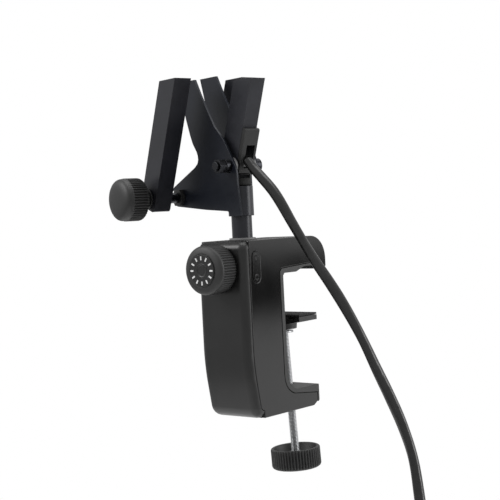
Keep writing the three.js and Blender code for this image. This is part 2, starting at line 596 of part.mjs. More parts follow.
const innerHole = atInner(rodY(4.3, [-20, 20]));
const innerTube = prismY(innerBarOutline(0, INNER_TOP, 0), INNER_Y);
const innerHollow = prismY(innerBarOutline(BAR_WALL, INNER_TOP + 5, -8), [INNER_Y[0] + BAR_WALL, INNER_Y[1] - BAR_WALL]);
const slotOutline = [
  innerPoint(innerRight - 4, SLOT_UP[0]), innerPoint(innerRight + 9, SLOT_UP[0] - 3),
  innerPoint(innerRight + 9, SLOT_UP[1]), innerPoint(innerRight - 4, SLOT_UP[1]),
];
const slotCutter = prismY(slotOutline, SLOT_Y);
add(arm, 'inner_bar', cut(innerTube, innerHollow, innerHole, slotCutter), BLACK_PAINT);
add(arm, 'inner_bush', atInner(tubeY(4.3 - GAP, AXLE_RADIUS + 0.1, [-6.6, 6.6])), NYLON);

const outletOutline = [
  innerPoint(innerRight + GAP, OUTLET_UP[0]), innerPoint(innerRight + OUTLET_PROUD - 1, OUTLET_UP[0]),
  innerPoint(innerRight + OUTLET_PROUD, OUTLET_UP[0] + 1.4),
  innerPoint(innerRight + OUTLET_PROUD, OUTLET_UP[1] - 0.8),
  innerPoint(innerRight + OUTLET_PROUD - 0.8, OUTLET_UP[1]), innerPoint(innerRight + GAP, OUTLET_UP[1]),
];
add(arm, 'cable_outlet', cut(prismY(outletOutline, INNER_Y), slotCutter, innerHole), BLACK_PLASTIC);

const PLUG_DEPTH = 9;
const topPlug = (outline, span) => prismY(outline, [span[0] + BAR_WALL + GAP, span[1] - BAR_WALL - GAP]);
const innerPlugOutline = [
  innerLevel(innerLeft + BAR_WALL + GAP, INNER_TOP), innerLevel(innerLeft + BAR_WALL + GAP, INNER_TOP - PLUG_DEPTH),
  innerLevel(innerRight - BAR_WALL - GAP, INNER_TOP - PLUG_DEPTH), innerLevel(innerRight - BAR_WALL - GAP, INNER_TOP),
];
add(arm, 'inner_bar_plug', topPlug(innerPlugOutline, INNER_Y), BLACK_PLASTIC);

// ---------------------------------------------------------------- outer bars

const outerPoint = (across, along) => barPoint(PIVOT_OUTER, OUTER_LEAN, across, along);
const outerLevel = (across, height) => barTop(PIVOT_OUTER, OUTER_LEAN, across, height);

// The axle's spring: a closed coil of round wire along the bar above the pivot.
function balanceSpring(y) {
  const turns = 9;
  const radius = 4;
  const pitch = 2.6;
  const start = 16;
  const lean = THREE.MathUtils.degToRad(OUTER_LEAN);
  const points = [];
  for (let i = 0; i <= turns * 6; i += 1) {
    const angle = 2 * Math.PI * i / 6;
    points.push(new THREE.Vector3(radius * Math.cos(angle), radius * Math.sin(angle), start + pitch * i / 6));
  }
  const curve = new THREE.CatmullRomCurve3(points);
  const wire = new THREE.Shape(arc([0, 0], 0.8, 0, 270, 3).map(([x, z]) => new THREE.Vector2(x, z)));
  const geometry = new THREE.ExtrudeGeometry(wire, { steps: turns * 7, extrudePath: curve });
  return shell(solid(geometry.rotateY(lean).translate(PIVOT_OUTER[0], y, PIVOT_OUTER[1])));
}

for (const [side, span] of [['near', NEAR_BAR_Y], ['far', FAR_BAR_Y]]) {
  const top = OUTER_TOP[side];
  const outer = [
    outerLevel(-OUTER_HALF, top),
    outerPoint(-OUTER_HALF, -OUTER_FOOT + 1.5), outerPoint(-OUTER_HALF + 1.5, -OUTER_FOOT),
    outerPoint(OUTER_HALF - 2.5, -OUTER_FOOT), outerPoint(OUTER_HALF - 0.7, -OUTER_FOOT + 0.8),
    outerPoint(OUTER_HALF, -OUTER_FOOT + 2.6),
    outerLevel(OUTER_HALF, top),
  ];
  const inner = OUTER_HALF - BAR_WALL;
  const hollow = [
    outerLevel(-inner, top + 5), outerPoint(-inner, -OUTER_FOOT - 5),
    outerPoint(inner, -OUTER_FOOT - 5), outerLevel(inner, top + 5),
  ];
  const tube = prismY(outer, span);
  const cavity = prismY(hollow, [span[0] + BAR_WALL, span[1] - BAR_WALL]);
  const hole = atOuter(rodY(5 + GAP, [-60, 60]));
  add(arm, `outer_bar_${side}`, cut(tube, cavity, hole), BLACK_PAINT);
  add(arm, `outer_bush_${side}`, atOuter(tubeY(5, SPACER_RADIUS + GAP, [span[0] - 0.1, span[1] + 0.1])), NYLON);
  const plug = inner - GAP;
  const topOutline = [
    outerLevel(-plug, top), outerLevel(-plug, top - PLUG_DEPTH),
    outerLevel(plug, top - PLUG_DEPTH), outerLevel(plug, top),
  ];
  add(arm, `outer_plug_${side}`, topPlug(topOutline, span), BLACK_PLASTIC);
  add(arm, `balance_spring_${side}`, balanceSpring((span[0] + span[1]) / 2), BRIGHT_STEEL);
}

// ---------------------------------------------------------------- outer pivot and tension knob

const [nearFace, nearBack] = NEAR_BAR_Y;
const [farBack, farFace] = FAR_BAR_Y;
add(arm, 'outer_axle', atOuter(rodY(AXLE_RADIUS, [TENSION_Y[0] + 2.4, farFace + 6.4])), BLACK_ZINC);
const sleeveSpan = (from, to) => atOuter(tubeY(SPACER_RADIUS, AXLE_RADIUS + GAP, [from, to]));
add(arm, 'outer_spacer_near', sleeveSpan(nearFace - 0.4, -14.6), BLACK_ZINC);
add(arm, 'outer_spacer_far', sleeveSpan(14.6, farFace + 0.4), BLACK_ZINC);
for (const [side, span] of [['near', [-14.3, -plateFace - GAP]], ['far', [plateFace + GAP, 14.3]]]) {
  add(arm, `outer_collar_${side}`, atOuter(cut(prismY(hexagon(11.4), span), nutHole)), BLACK_PLASTIC);
}
add(arm, 'outer_inner_spacer', atOuter(tubeY(4.8, AXLE_RADIUS + GAP, [-plateFace, plateFace])), BLACK_ZINC);
add(arm, 'outer_end_nut', atOuter(cut(prismY(hexagon(9.6), [farFace + 1, farFace + 5.8]), nutHole)), BLACK_ZINC);

const washerSpan = [nearFace - 2, nearFace - 0.8];
add(arm, 'tension_washer', atOuter(tubeY(NECK_RADIUS + 0.3, AXLE_RADIUS + GAP, washerSpan, 32)), BLACK_PLASTIC);
const [knobFace, knobBack] = TENSION_Y;
const tensionBody = shell(solid(turnedY([
  ...domeProfile(TENSION_RADIUS - 0.3, knobFace, TENSION_DOME, 3.2),
  [TENSION_RADIUS, knobFace + 0.9], [TENSION_RADIUS, knobBack - 0.8], [TENSION_RADIUS - 0.8, knobBack],
  [NECK_RADIUS + 0.6, knobBack], [NECK_RADIUS, washerSpan[0] - GAP], [0, washerSpan[0] - GAP],
])));
const tensionBore = rodY(AXLE_RADIUS + GAP, [knobFace + 2.1, 0]);
add(arm, 'tension_knob', atOuter(cut(tensionBody, tensionBore)), GRIP_PLASTIC);

// ---------------------------------------------------------------- cable

// Route of the free lead in an upright plane, as (run, height) from the outlet to the coil.
const CORD_ROUTE = [
  [3.4, 49.2], [8, 44.3], [11.6, 40.4], [14.8, 36.9], [18.4, 32.6], [22, 27.4], [25.8, 21.2], [30.6, 12.8], [35.6, 4.4],
  [41.2, -4.8], [49, -17], [57.4, -29], [65.6, -41.5], [73.6, -55], [81.6, -70], [89.6, -87],
  [98, -104.5], [106, -123], [112.6, -143], [116.4, -165], [119.2, -188], [120.7, -211], [120.7, -234.8],
];
const cordHeading = THREE.MathUtils.degToRad(CORD_HEADING);
const cordPlace = (run, up) => new THREE.Vector3(
  CORD_EXIT[0] + run * Math.cos(cordHeading), CORD_EXIT[1] + run * Math.sin(cordHeading), up);
const cordCurve = new THREE.CatmullRomCurve3(CORD_ROUTE.map(([run, up]) => cordPlace(run, up)));
const cordSection = new THREE.Shape(arc([0, 0], CORD_RADIUS, 0, 315, 7).map(([x, y]) => new THREE.Vector2(x, y)));
const cordTube = new THREE.ExtrudeGeometry(cordSection, { steps: 34, extrudePath: cordCurve });
add(clamp, 'cable', shell(solid(cordTube)), CORD_JACKET);

const coilProfile = [
  [COIL_MEAN - COIL_HALF_DEPTH, -COIL_HALF_WIDTH + 3], [COIL_MEAN - COIL_HALF_DEPTH + 3, -COIL_HALF_WIDTH],
  [COIL_MEAN + COIL_HALF_DEPTH - 3, -COIL_HALF_WIDTH], [COIL_MEAN + COIL_HALF_DEPTH, -COIL_HALF_WIDTH + 3],
  [COIL_MEAN + COIL_HALF_DEPTH, COIL_HALF_WIDTH - 3], [COIL_MEAN + COIL_HALF_DEPTH - 3, COIL_HALF_WIDTH],
  [COIL_MEAN - COIL_HALF_DEPTH + 3, COIL_HALF_WIDTH], [COIL_MEAN - COIL_HALF_DEPTH, COIL_HALF_WIDTH - 3],
  [COIL_MEAN - COIL_HALF_DEPTH, -COIL_HALF_WIDTH + 3],
];
const OUTER_TURN = COIL_MEAN + CORD_RADIUS;
const COIL_RUN = CORD_ROUTE[CORD_ROUTE.length - 1][0] - OUTER_TURN;

// Places a geometry that is drawn around the Z axis at a run along the cable's plane.
function onCord(geometry, run, up = 0) {
  const place = cordPlace(run, up);
  return geometry.rotateZ(cordHeading).translate(place.x, place.y, place.z);
}

const tailRun = COIL_RUN + COIL_MEAN + COIL_HALF_DEPTH + 2.5;
const atTail = (geometry) => onCord(geometry, tailRun);
const coil = onCord(shell(solid(turnedY(coilProfile))), COIL_RUN, COIL_HEIGHT);
const tail = atTail(rodZ(CORD_RADIUS, [PLUG_START_Z + GAP, COIL_HEIGHT + 8], 16));
add(clamp, 'cable_coil', join(coil, tail), CORD_JACKET);
const tieHalf = [COIL_HALF_WIDTH + 2, COIL_HALF_DEPTH + 2.6];
const tieOuter = box([-6, 6], [-tieHalf[0], tieHalf[0]], [-tieHalf[1], tieHalf[1]]);
const tieInner = box([-9, 9], [-tieHalf[0] + 1.4, tieHalf[0] - 1.4], [-tieHalf[1] + 1.4, tieHalf[1] - 1.4]);
add(clamp, 'coil_tie', onCord(cut(tieOuter, tieInner), COIL_RUN, COIL_HEIGHT + COIL_MEAN), RUBBER);
const bootProfile = [
  [0, PLUG_START_Z], [4.6, PLUG_START_Z], [5, PLUG_START_Z - 1], [6.6, PLUG_START_Z - 18],
  [8.2, PLUG_START_Z - 22], [0, PLUG_START_Z - 22],
];
add(clamp, 'connector_boot', atTail(shell(solid(turnedZ([...bootProfile].reverse())))), RUBBER);
const shellTop = PLUG_START_Z - 22 - GAP;
const shellBottom = shellTop - 46;
const connectorShell = cut(rodZ(9.4, [shellBottom, shellTop]), rodZ(7.8, [shellBottom - 1, shellTop - 16], 32));
add(clamp, 'connector_shell', atTail(connectorShell), BRIGHT_STEEL);
const contactHoles = [90, 210, 330].map((angle) => {
  const [[x, y]] = arc([0, 0], 3.8, angle, angle, 1);
  return rodZ(1.3, [shellBottom - 2, shellBottom + 12], 12).translate(x, y, 0);
});
const contactBlock = rodZ(7.8 - GAP, [shellBottom + 0.8, shellTop - 16 - GAP], 32);
add(clamp, 'connector_insert', atTail(cut(contactBlock, ...contactHoles)), BLACK_PLASTIC);

// ---------------------------------------------------------------- origin

clamp.position.set(0, -(JAW_FACE_Y[0] + JAW_FACE_Y[1]) / 2, -JAW_FACE_Z);

export default part;
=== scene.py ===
# The looks of a table clamp with the lower end of a two-bar desk arm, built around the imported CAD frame.
# Lengths are metres unless a name says otherwise. MM turns millimetres into metres.
import json
import math

import bmesh
import bpy
import numpy as np
from mathutils import Matrix, Vector


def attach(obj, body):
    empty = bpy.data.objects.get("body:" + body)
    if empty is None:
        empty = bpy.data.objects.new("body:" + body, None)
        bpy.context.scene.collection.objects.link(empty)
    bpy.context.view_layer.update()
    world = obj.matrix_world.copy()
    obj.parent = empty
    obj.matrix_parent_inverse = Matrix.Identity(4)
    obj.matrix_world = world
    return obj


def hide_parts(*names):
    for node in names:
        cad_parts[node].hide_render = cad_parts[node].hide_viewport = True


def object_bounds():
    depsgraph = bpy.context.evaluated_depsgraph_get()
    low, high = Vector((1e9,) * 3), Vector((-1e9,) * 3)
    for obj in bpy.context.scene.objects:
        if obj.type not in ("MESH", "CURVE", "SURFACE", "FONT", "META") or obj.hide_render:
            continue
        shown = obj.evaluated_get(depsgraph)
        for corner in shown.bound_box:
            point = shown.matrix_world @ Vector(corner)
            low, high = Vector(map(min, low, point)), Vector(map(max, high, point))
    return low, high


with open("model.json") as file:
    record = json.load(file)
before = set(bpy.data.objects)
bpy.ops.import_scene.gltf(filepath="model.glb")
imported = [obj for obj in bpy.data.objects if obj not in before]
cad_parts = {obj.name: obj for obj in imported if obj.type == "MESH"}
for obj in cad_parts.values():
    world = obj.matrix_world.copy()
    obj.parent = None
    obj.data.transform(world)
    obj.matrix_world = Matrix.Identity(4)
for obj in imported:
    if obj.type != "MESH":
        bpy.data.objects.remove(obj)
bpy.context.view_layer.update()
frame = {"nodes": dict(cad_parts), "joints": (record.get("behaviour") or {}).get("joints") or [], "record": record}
NODES = frame["nodes"]
JOINTS = {joint["name"]: joint for joint in frame["joints"]}
MM = 0.001
# The clamp's own zero: the middle of its top face's front edge.
CLAMP_ORIGIN = Vector((0, -50.3, 24.3)) * MM


# ---------------------------------------------------------------- camera

CAMERA_AT = Vector((0.53785, -0.67440, 0.04431))
CAMERA_AZIMUTH = math.radians(39.3)
CAMERA_ELEVATION = math.radians(1.85)
CAMERA_ROLL = math.radians(2.85)
CAMERA_LENS = 87.84  # millimetres, like the sensor
CAMERA_SENSOR = 36.0
CAMERA_NEAREST = 0.05


def add_camera():
    """Looks at the clamp from its front right, level but for a small roll."""
    data = bpy.data.cameras.new("camera")
    data.lens = CAMERA_LENS
    data.sensor_width = CAMERA_SENSOR
    data.clip_start = CAMERA_NEAREST
    camera = bpy.data.objects.new("camera", data)
    bpy.context.collection.objects.link(camera)
    flat = math.cos(CAMERA_ELEVATION)
    back = Vector((
        math.sin(CAMERA_AZIMUTH) * flat,
        -math.cos(CAMERA_AZIMUTH) * flat,
        math.sin(CAMERA_ELEVATION),
    ))
    level_right = (-back).cross(Vector((0, 0, 1))).normalized()
    level_up = level_right.cross(-back)
    right = math.cos(CAMERA_ROLL) * level_right - math.sin(CAMERA_ROLL) * level_up
    up = math.sin(CAMERA_ROLL) * level_right + math.cos(CAMERA_ROLL) * level_up
    turn = Matrix((right, up, back)).transposed().to_4x4()
    camera.matrix_world = Matrix.Translation(CAMERA_AT) @ turn
    bpy.context.scene.camera = camera


add_camera()


# ---------------------------------------------------------------- materials

NOISE_LOW = 0.3  # the noise values at which a varied colour reaches its two ends
NOISE_HIGH = 0.7


class Shader:
    """A material whose nodes are added one by one in front of its Principled shader."""

    def __init__(self, name, colour, roughness, metallic=0.0, specular=0.5):
        self.material = bpy.data.materials.new(name)
        self.material.use_nodes = True
        self.tree = self.material.node_tree
        self.main = self.tree.nodes["Principled BSDF"]
        self.main.inputs["Base Color"].default_value = (*colour, 1)
        self.main.inputs["Roughness"].default_value = roughness
        self.main.inputs["Metallic"].default_value = metallic
        self.main.inputs["Specular IOR Level"].default_value = specular
        self.place = self.node("ShaderNodeTexCoord").outputs["Object"]

    def node(self, kind, **settings):
        made = self.tree.nodes.new(kind)
        for key, value in settings.items():
            setattr(made, key, value)
        return made

    def link(self, start, end):
        self.tree.links.new(start, end)

    def noise(self, scale, detail=4.0, stretch=(1, 1, 1)):
        mapping = self.node("ShaderNodeMapping")
        mapping.inputs["Scale"].default_value = stretch
        self.link(self.place, mapping.inputs["Vector"])
        texture = self.node("ShaderNodeTexNoise")
        texture.inputs["Scale"].default_value = scale
        texture.inputs["Detail"].default_value = detail
        self.link(mapping.outputs["Vector"], texture.inputs["Vector"])
        return texture.outputs["Fac"]

    def vary_colour(self, value, low, high):
        ramp = self.node("ShaderNodeValToRGB")
        ramp.color_ramp.elements[0].position = NOISE_LOW
        ramp.color_ramp.elements[0].color = (*low, 1)
        ramp.color_ramp.elements[1].position = NOISE_HIGH
        ramp.color_ramp.elements[1].color = (*high, 1)
        self.link(value, ramp.inputs["Fac"])
        self.link(ramp.outputs["Color"], self.main.inputs["Base Color"])

    def vary_roughness(self, value, low, high):
        spread = self.node("ShaderNodeMapRange")
        spread.inputs["To Min"].default_value = low
        spread.inputs["To Max"].default_value = high
        self.link(value, spread.inputs["Value"])
        self.link(spread.outputs["Result"], self.main.inputs["Roughness"])

    def bump(self, value, strength, depth):
        bump = self.node("ShaderNodeBump")
        bump.inputs["Strength"].default_value = strength
        bump.inputs["Distance"].default_value = depth
        self.link(value, bump.inputs["Height"])
        self.link(bump.outputs["Normal"], self.main.inputs["Normal"])


def grey(level):
    """A neutral linear colour."""
    return (level, level, level)


def moulded_plastic(name, level, roughness, grain=2600, strength=0.22):
    """Black plastic with a fine spark-eroded grain and faint, broad changes of gloss."""
    made = Shader(name, grey(level), roughness)
    made.vary_colour(made.noise(60), grey(level * 0.8), grey(level * 1.25))
    made.vary_roughness(made.noise(35), roughness - 0.04, roughness + 0.05)
    made.bump(made.noise(grain, detail=2.0), strength, depth=0.00006)
    return made.material


def painted_metal(name, colour, roughness, specular=0.5):
    """Powder coat: a fine orange-peel over a slightly metallic ground."""
    made = Shader(name, colour, roughness, metallic=0.25, specular=specular)
    low = tuple(c * 0.82 for c in colour)
    high = tuple(c * 1.25 for c in colour)
    made.vary_colour(made.noise(45), low, high)
    made.vary_roughness(made.noise(140), roughness - 0.05, roughness + 0.06)
    made.bump(made.noise(1900, detail=3.0), strength=0.3, depth=0.00008)
    return made.material


def bare_metal(name, colour, roughness, stretch=(1, 1, 1), strength=0.25):
    """Plated or turned metal with fine tool marks and a cloudy finish."""
    made = Shader(name, colour, roughness, metallic=1.0)
    low = tuple(c * 0.88 for c in colour)
    made.vary_colour(made.noise(420, detail=5.0), low, colour)
    made.vary_roughness(made.noise(500, 4.0, stretch), roughness - 0.08, roughness + 0.14)
    made.bump(made.noise(1500, 3.0, stretch), strength, depth=0.00004)
    return made.material


def soft_matter(name, level, roughness, strength):
    """Rubber: matt, with a little dust in its grain."""
    made = Shader(name, grey(level), roughness, specular=0.35)
    made.vary_colour(made.noise(900, detail=6.0), grey(level * 0.7), grey(level * 1.6))
    made.bump(made.noise(1400), strength, depth=0.0001)
    return made.material


def jacket():
    """The cable's soft plastic jacket, glossy in streaks where the cores inside press it out."""
    made = Shader("cord_jacket", grey(0.006), 0.3)
    made.vary_colour(made.noise(300), grey(0.004), grey(0.009))
    made.vary_roughness(made.noise(90, 5.0, (1, 1, 0.35)), 0.12, 0.34)
    made.bump(made.noise(210, 3.0, (1, 1, 0.22)), strength=0.5, depth=0.0007)
    return made.material


MATERIALS = {
    "cast_frame": painted_metal("cast_frame", grey(0.02), 0.55),
    "cover_plastic": moulded_plastic("cover_plastic", 0.006, 0.36),
    "grip_plastic": moulded_plastic("grip_plastic", 0.011, 0.5, 1800, 0.3),
    "painted_steel": painted_metal("painted_steel", (0.0065, 0.0082, 0.0135), 0.36, specular=0.36),
    "painted_tube": painted_metal("painted_tube", (0.013, 0.0135, 0.018), 0.34),
    "soft_rubber": soft_matter("soft_rubber", 0.012, 0.8, 0.4),
    "zinc_steel": bare_metal("zinc_steel", (0.62, 0.63, 0.64), 0.3),
    "black_zinc": bare_metal("black_zinc", (0.035, 0.036, 0.04), 0.26),
    "bright_steel": bare_metal("bright_steel", (0.5, 0.505, 0.52), 0.24, (1, 1, 6)),
    "bush_nylon": moulded_plastic("bush_nylon", 0.18, 0.45, 1500, 0.15),
    "brass": bare_metal("brass", (0.62, 0.45, 0.18), 0.3),
    "cord_jacket": jacket(),
}
TICK_PAINT = moulded_plastic("tick_paint", 0.6, 0.5, 2200, 0.12)
GLOSSY_COVER = moulded_plastic("glossy_cover", 0.004, 0.1, 2600, 0.02)
# A darker metal for the faces deep in the screw's thread: painted shade in the thread roots.
PAINTED_THREAD_SHADE = bare_metal("painted_thread_shade", (0.22, 0.22, 0.225), 0.5)


# ---------------------------------------------------------------- pieces from mesh code


def new_piece(name, points, faces, material, body, slot, smooth=True):
    """Makes a mesh piece with material that rides on body. The slot argument is not used."""
    mesh = bpy.data.meshes.new(name)
    mesh.from_pydata([tuple(p) for p in points], [], faces)
    mesh.validate()
    piece = bpy.data.objects.new(name, mesh)
    bpy.context.collection.objects.link(piece)
    edit = bmesh.new()
    edit.from_mesh(mesh)
    bmesh.ops.recalc_face_normals(edit, faces=edit.faces)
    edit.to_mesh(mesh)
    edit.free()
    mesh.polygons.foreach_set("use_smooth", [smooth] * len(mesh.polygons))
    mesh.materials.append(material)
    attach(piece, body)
    return piece


def frame_along(axis):
    """Two unit vectors square to axis and to each other."""
    side = Vector((0, 0, 1)) if abs(axis.z) < 0.9 else Vector((0, 1, 0))
    across = side.cross(axis).normalized()
    return across, axis.cross(across)


def side_faces(rows, steps):
    """The quads between each two of rows rings, each ring of steps points."""
    faces = []
    for i in range(rows - 1):
        for k in range(steps):
            after = (k + 1) % steps
            above = (i + 1) * steps
            faces.append((i * steps + k, i * steps + after, above + after, above + k))
    return faces


def turned(name, origin, axis, profile, radius_at, steps, *look):
    """Revolves (radius, height) pairs about axis. radius_at(radius, height, angle, i) gives each radius."""
    across, other = frame_along(axis)
    points = []
    for i, (radius, height) in enumerate(profile):
        for k in range(steps):
            angle = math.tau * k / steps
            here = radius_at(radius, height, angle, i)
            spoke = math.cos(angle) * across + math.sin(angle) * other
            points.append(origin + here * spoke + height * axis)
    faces = side_faces(len(profile), steps)
    faces.append(tuple(range(steps)))
    faces.append(tuple(range(len(points) - steps, len(points))))
    return new_piece(name, points, faces, *look)


def reach(node, origin, axis):
    """A CAD node's lowest and highest place along an axis, and its largest radius from it."""
    data = NODES[node].data
    spots = np.empty(len(data.vertices) * 3)
    data.vertices.foreach_get("co", spots)
    spots = spots.reshape(-1, 3) - np.array(origin)
    along = spots @ np.array(axis)
    out = np.linalg.norm(spots - np.outer(along, np.array(axis)), axis=1)
    return float(along.min()), float(along.max()), float(out.max())


def joint_line(name, towards):
    """A joint's anchor and its axis, the axis turned to point the way of towards."""
    joint = JOINTS[name]
    axis = Vector(joint["axis"]).normalized()
    if axis.dot(Vector(towards)) < 0:
        axis = -axis
    return Vector(joint["pos_m"]), axis


def dome(radius, rim, height, fullness, count=10):
    """(radius, height) points of a full, round-shouldered face above a rim, from its centre out."""
    points = []
    for i in range(1, count + 1):
        angle = math.pi / 2 * i / count
        across = min(1.0, math.sin(angle)) ** (2 / fullness)
        out = max(0.0, math.cos(angle)) ** (2 / fullness)
        points.append((radius * across, rim + height * out))
    return points


# ---------------------------------------------------------------- cable

CORD_RADIUS = 3.7 * MM
# Places along the cable are millimetres in the clamp's own frame, in an upright plane through CORD_EXIT.
CORD_EXIT = (10.5, 23)
CORD_HEADING = math.radians(8)
CORD_ROUTE = [
    (3.4, 49.2), (8, 44.3), (11.6, 40.4), (14.8, 36.9), (18.4, 32.6), (22, 27.4), (25.8, 21.2), (30.6, 12.8),
    (35.6, 4.4), (41.2, -4.8), (49, -17), (57.4, -29), (65.6, -41.5), (73.6, -55), (81.6, -70), (89.6, -87),
    (98, -104.5), (106, -123), (112.6, -143), (116.4, -165), (119.2, -188), (120.7, -211), (120.7, -234.8),
]
CORD_INSIDE = (-1, 0, 55)  # where it starts, out of sight in the outlet's slot
LEAD_IN = 6  # route points over which the cable steps to the coil's side
COIL_MEAN = 41  # the radius at the middle of the turns
COIL_HEIGHT = -262
COIL_TURNS = 6
COIL_STEPS = 40
SHIFT_START = 290  # the degree of the first and of the last turn where the cable moves to its next place
SHIFT_EARLIER = 18
SHIFT_SPAN = 60
PITCH = 7.5  # a diameter and a little
TAIL_PROUD = 14.5
TAIL_STEPS = 5
PLUG_START = -312
BOOT_OVERLAP = 2
CURVE_PARTS = 8
CORD_SIDES = 20
LOBE_DEPTH = 0.12  # of the cable's radius
LOBE_TWIST = math.tau / 0.16  # radians to each metre


def cord_place(run, side, up):
    """A point of the cable, from its run along its upright plane, its distance beside it, and its height."""
    x = CORD_EXIT[0] + run * math.cos(CORD_HEADING) - side * math.sin(CORD_HEADING)
    y = CORD_EXIT[1] + run * math.sin(CORD_HEADING) + side * math.cos(CORD_HEADING)
    return CLAMP_ORIGIN + Vector((x, y, up)) * MM


def ease(x):
    """A smooth step from 0 to 1."""
    x = min(1.0, max(0.0, x))
    return x * x * (3 - 2 * x)


def through(points, parts):
    """Points of a Catmull-Rom curve through points, parts to each stretch."""
    out = []
    ends = [2 * points[0] - points[1], *points, 2 * points[-1] - points[-2]]
    for i in range(1, len(ends) - 2):
        a, b, c, d = ends[i - 1:i + 3]
        for k in range(parts):
            t = k / parts
            square = 2 * a - 5 * b + 4 * c - d
            cube = 3 * b - a - 3 * c + d
            out.append(0.5 * (2 * b + (c - a) * t + square * t ** 2 + cube * t ** 3))
    return [*out, points[-1]]


def coil_points():
    """Six turns in three columns and two layers. Each shift to the next place but the last starts earlier."""
    outer = COIL_MEAN + PITCH / 2
    inner = COIL_MEAN - PITCH / 2
    places = [(outer, -PITCH), (inner, -PITCH), (inner, 0), (inner, PITCH), (outer, PITCH), (outer, 0)]
    places.append((COIL_MEAN + TAIL_PROUD - CORD_RADIUS / MM, 0))
    starts = [SHIFT_START - SHIFT_EARLIER * k for k in range(COIL_TURNS - 1)] + [SHIFT_START]
    points = []
    centre_run = CORD_ROUTE[-1][0] - outer
    for i in range(COIL_TURNS * COIL_STEPS + 1):
        degrees = 360 * i / COIL_STEPS
        radius, side = places[0]
        for k, start in enumerate(starts):
            share = ease((degrees - 360 * k - start) / SHIFT_SPAN)
            radius += share * (places[k + 1][0] - places[k][0])
            side += share * (places[k + 1][1] - places[k][1])
        angle = math.radians(degrees)
        points.append((centre_run + radius * math.cos(angle), side, COIL_HEIGHT - radius * math.sin(angle)))
    return points


def lobed_tube(name, places, *look):
    """A jacket drawn tight over two cores that twist slowly round each other, along a list of places."""
    sides = CORD_SIDES
    pinch = LOBE_DEPTH * CORD_RADIUS
    points = []
    run = 0.0
    normal = Vector((0, 0, 1)).cross(places[1] - places[0]).normalized()
    for i, place in enumerate(places):
        ahead = places[min(i + 1, len(places) - 1)]
        behind = places[max(i - 1, 0)]
        tangent = (ahead - behind).normalized()
        normal = (normal - normal.dot(tangent) * tangent).normalized()
        other = tangent.cross(normal)
        run += (place - behind).length
        for k in range(sides):
            angle = math.tau * k / sides
            radius = CORD_RADIUS - pinch * (0.5 - 0.5 * math.cos(2 * (angle - LOBE_TWIST * run)))
            points.append(place + radius * (math.cos(angle) * normal + math.sin(angle) * other))
    faces = [tuple(range(sides)), tuple(range(len(points) - sides, len(points)))]
    faces += side_faces(len(places), sides)
    return new_piece(name, points, faces, *look)


def add_cable():
    """The cable from the outlet's slot down past the clamp, round its coil and into the connector's boot."""
    route = []
    for i, (run, up) in enumerate(CORD_ROUTE):
        side = -PITCH * ease((i - len(CORD_ROUTE) + LEAD_IN) / (LEAD_IN - 1))
        route.append((run, side, up))
    coil = coil_points()
    tail_run = coil[-1][0]
    tail_end = PLUG_START - BOOT_OVERLAP
    drop = COIL_HEIGHT - tail_end
    tail = [(tail_run, 0, COIL_HEIGHT - drop * k / TAIL_STEPS) for k in range(1, TAIL_STEPS + 1)]
    free = [cord_place(*point) for point in [CORD_INSIDE, *route]]
    places = through(free + [cord_place(*point) for point in coil[:1]], CURVE_PARTS)[:-1]
    places += [cord_place(*point) for point in coil + tail]
    cable = lobed_tube("mic_cable", places, MATERIALS["cord_jacket"], "bracket", "cord_jacket")
    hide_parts("cable", "cable_coil")


add_cable()


# ---------------------------------------------------------------- knobs and screw

RIB_STEPS = 8  # points round each rib
RIB_SHARPNESS = 1.6
RING_STEPS = 72


def ribbed_knob(name, node, body, origin, axis, rows, ribs, depth):
    """A turned knob in place of a CAD node. A row is a radius, a height and a share of the ribs' depth."""
    def radius_at(radius, height, angle, i):
        wave = 0.5 - 0.5 * math.cos(ribs * angle)
        return radius - depth * rows[i][2] * wave ** RIB_SHARPNESS

    knob = turned(
        name, origin, axis, [(radius, height) for radius, height, _ in rows], radius_at, ribs * RIB_STEPS,
        MATERIALS["grip_plastic"], body, "grip_plastic",
    )
    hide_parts(node)


def add_tension_knob():
    """The knob on the outer axle: a ribbed rim, a smooth domed face and a stepped hub behind."""
    origin, axis = joint_line("tension_turn", (0, -1, 0))
    low, high, radius = reach("tension_knob", origin, axis)
    dome_height = 6 * MM
    hub = 6.75 * MM
    edge = 0.5 * MM
    face = high - dome_height
    back = face - 0.5 * (high - low)
    crown = [(hub * 0.25, high)] + dome(radius - 0.3 * MM, face, dome_height, fullness=3.2)
    rim = [
        (radius, face - 0.5 * MM, 0.25), (radius, face - 1.1 * MM, 1.0), (radius, face - 2.2 * MM, 1.0),
        (radius, (face + back) / 2, 1.0), (radius, back + 1.2 * MM, 1.0),
        (radius - edge * 0.3, back + edge, 0.9), (radius - edge, back, 0.4),
        (radius - 2.6 * MM, back, 0.0), (hub + 0.8 * MM, back, 0.0),
        (hub, back - edge, 0.0), (hub, low + edge, 0.0), (hub - edge, low, 0.0), (hub * 0.4, low, 0.0),
    ]
    rows = [(out, height, 0.0) for out, height in crown] + rim
    ribbed_knob(
        "ribbed_tension_knob", "tension_knob", "tension_knob", origin, axis, rows, ribs=49, depth=1.2 * MM)


